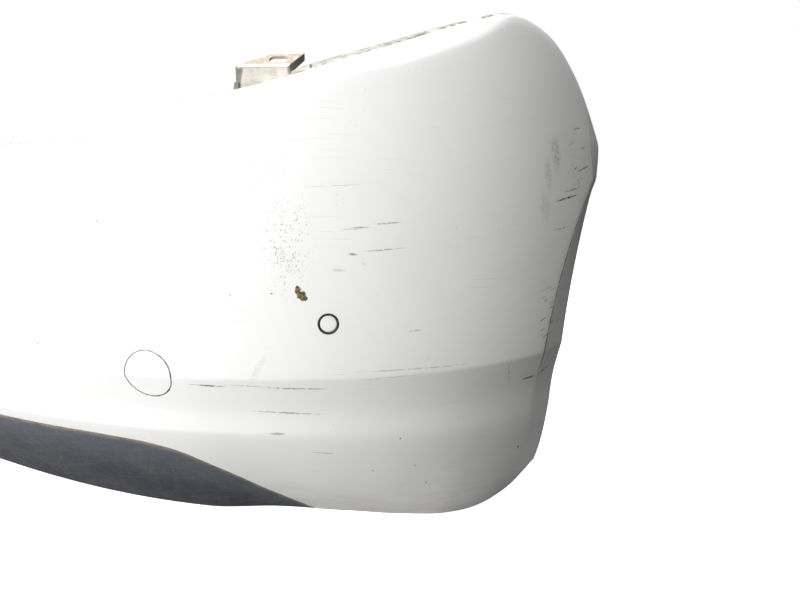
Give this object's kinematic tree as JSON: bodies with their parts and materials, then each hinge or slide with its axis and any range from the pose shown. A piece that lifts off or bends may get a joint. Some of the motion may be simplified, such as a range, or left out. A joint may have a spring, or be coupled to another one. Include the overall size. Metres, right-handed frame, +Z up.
{
  "type": "bumper cover",
  "caption": "Rear bumper cover of a small hatchback: wrap-around painted skin with grained lower insert, pull-out tow eye cap, parking sensors and lamp brackets.",
  "frame": {"origin": "on the ground under the middle of the cover's box", "axes": "+Z up, +X to the car's right, +Y towards the front of the car"},
  "size_m": [1.7386, 0.6, 0.663],
  "materials": {
    "white_paint": "gloss paint, scuffed",
    "grained_plastic": "grained matt, dusty",
    "black_plastic": "matt",
    "sensor_paint": "gloss paint",
    "ring_rubber": "matt",
    "bracket_plastic": "satin, dirty",
    "screw_steel": "dark zinc",
    "nut_steel": "spring steel"
  },
  "bodies": {
    "cover": {"bumper_skin": "white_paint", "lower_valance": "grained_plastic", "tow_eye_guide": "black_plastic", "sensor_cup_1": "sensor_paint", "sensor_cup_2": "sensor_paint", "sensor_cup_3": "sensor_paint", "sensor_cup_4": "sensor_paint", "sensor_ring_1": "ring_rubber", "sensor_ring_2": "ring_rubber", "sensor_ring_3": "ring_rubber", "sensor_ring_4": "ring_rubber", "sensor_housing_1": "black_plastic", "sensor_housing_2": "black_plastic", "sensor_housing_3": "black_plastic", "sensor_housing_4": "black_plastic", "sensor_holder_1": "black_plastic", "sensor_holder_2": "black_plastic", "sensor_holder_3": "black_plastic", "sensor_holder_4": "black_plastic", "lamp_bracket_left": "bracket_plastic", "lamp_bracket_right": "bracket_plastic", "bracket_screws": "screw_steel", "rivet_shells": "black_plastic", "arch_clip_nuts": "nut_steel"},
    "tow_cap": {"tow_eye_cap": "white_paint"},
    "rivet_pin_left_outer": {"rivet_pin_1": "black_plastic"},
    "rivet_pin_left_inner": {"rivet_pin_2": "black_plastic"},
    "rivet_pin_right_inner": {"rivet_pin_3": "black_plastic"},
    "rivet_pin_right_outer": {"rivet_pin_4": "black_plastic"}
  },
  "joints": [
    {"name": "tow_cap_pull", "type": "slide", "parent": "cover", "child": "tow_cap", "axis": [0.2714, -0.9513, -0.1458], "range_m": [0, 0.04]},
    {"name": "rivet_pin_left_outer_pull", "type": "slide", "parent": "cover", "child": "rivet_pin_left_outer", "axis": [0, 0, -1], "range_m": [0, 0.006]},
    {"name": "rivet_pin_left_inner_pull", "type": "slide", "parent": "cover", "child": "rivet_pin_left_inner", "axis": [0, 0, -1], "range_m": [0, 0.006]},
    {"name": "rivet_pin_right_inner_pull", "type": "slide", "parent": "cover", "child": "rivet_pin_right_inner", "axis": [0, 0, -1], "range_m": [0, 0.006]},
    {"name": "rivet_pin_right_outer_pull", "type": "slide", "parent": "cover", "child": "rivet_pin_right_outer", "axis": [0, 0, -1], "range_m": [0, 0.006]}
  ]
}
